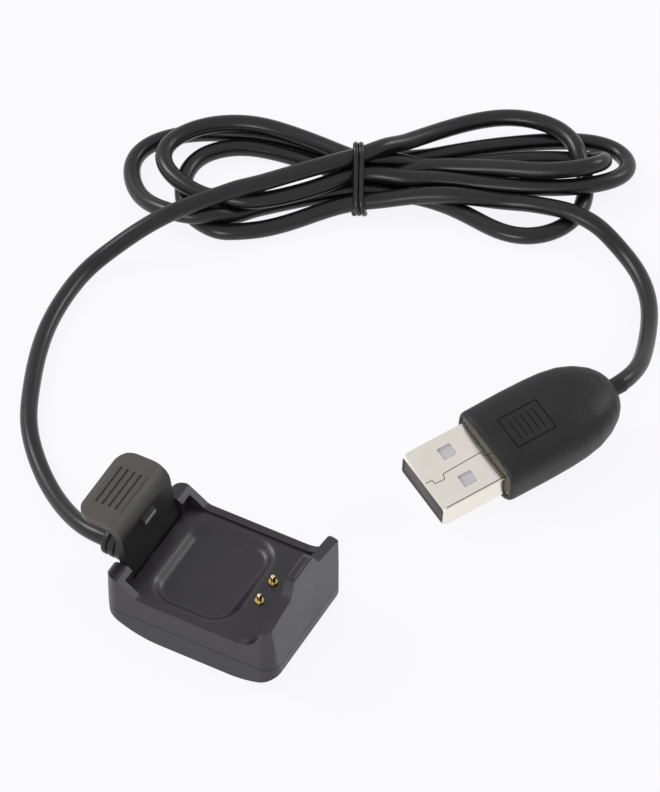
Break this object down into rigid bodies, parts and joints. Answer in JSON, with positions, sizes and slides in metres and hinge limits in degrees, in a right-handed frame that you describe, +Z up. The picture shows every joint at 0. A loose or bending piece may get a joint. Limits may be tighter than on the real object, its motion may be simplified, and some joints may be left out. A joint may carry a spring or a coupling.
{
  "type": "activity tracker charging cradle",
  "caption": "Charging cradle for a wrist-band activity tracker, with a sprung push latch, sprung contact pins, a tied hank of cord and a USB-A plug.",
  "frame": {"origin": "middle of the flat under the cradle's belly, on the surface that the cradle stands on", "axes": "+X from the latch to the front wall with the contacts, +Y to the left, +Z up"},
  "size_m": [0.0983, 0.1281, 0.018],
  "materials": {
    "housing": "satin moulded",
    "cover": "satin moulded",
    "latch": "fine texture",
    "spring_steel": "drawn wire",
    "insulator": "moulded",
    "gold": "gold plated",
    "board": "solder mask",
    "ceramic": "fired",
    "wire": "insulated",
    "jacket": "soft satin",
    "relief": "moulded",
    "tie": "coated wire",
    "grip": "spark eroded texture",
    "shell_steel": "nickel plated",
    "mould": "moulded"
  },
  "bodies": {
    "cradle": {"cradle_housing": "housing", "base_cover": "cover", "contact_carrier": "insulator", "contact_barrels": "gold", "contact_spring_left": "spring_steel", "contact_spring_right": "spring_steel", "latch_spring_left": "spring_steel", "latch_spring_right": "spring_steel", "circuit_board": "board", "board_resistors": "ceramic", "board_wires": "wire", "cord_core": "jacket", "strain_relief": "relief", "cord_lead_cradle": "jacket", "cord_hank": "jacket", "cord_tie": "tie", "cord_lead_plug": "jacket", "plug_grip": "grip", "plug_shell": "shell_steel", "plug_tongue": "insulator", "plug_contacts": "gold", "plug_inner_mould": "mould", "plug_crimp": "shell_steel", "plug_wires": "wire"},
    "latch": {"latch_arm": "latch"},
    "left_pin": {"contact_plunger_left": "gold"},
    "right_pin": {"contact_plunger_right": "gold"}
  },
  "joints": [
    {"name": "latch_hinge", "type": "hinge", "parent": "cradle", "child": "latch", "pos_m": [-0.0124, 0, 0.0054], "axis": [0, -1, 0], "range_deg": [0, 12], "stiffness_Nm_per_rad": 0.05, "springref_deg": -5.73, "deforming": ["latch_spring_left", "latch_spring_right"]},
    {"name": "left_pin_slide", "type": "slide", "parent": "cradle", "child": "left_pin", "axis": [0, 0, -1], "range_m": [0, 0.001], "stiffness_N_per_m": 600, "springref_m": -0.0005, "deforming": ["contact_spring_left"]},
    {"name": "right_pin_slide", "type": "slide", "parent": "cradle", "child": "right_pin", "axis": [0, 0, -1], "range_m": [0, 0.001], "stiffness_N_per_m": 600, "springref_m": -0.0005, "deforming": ["contact_spring_right"]}
  ]
}
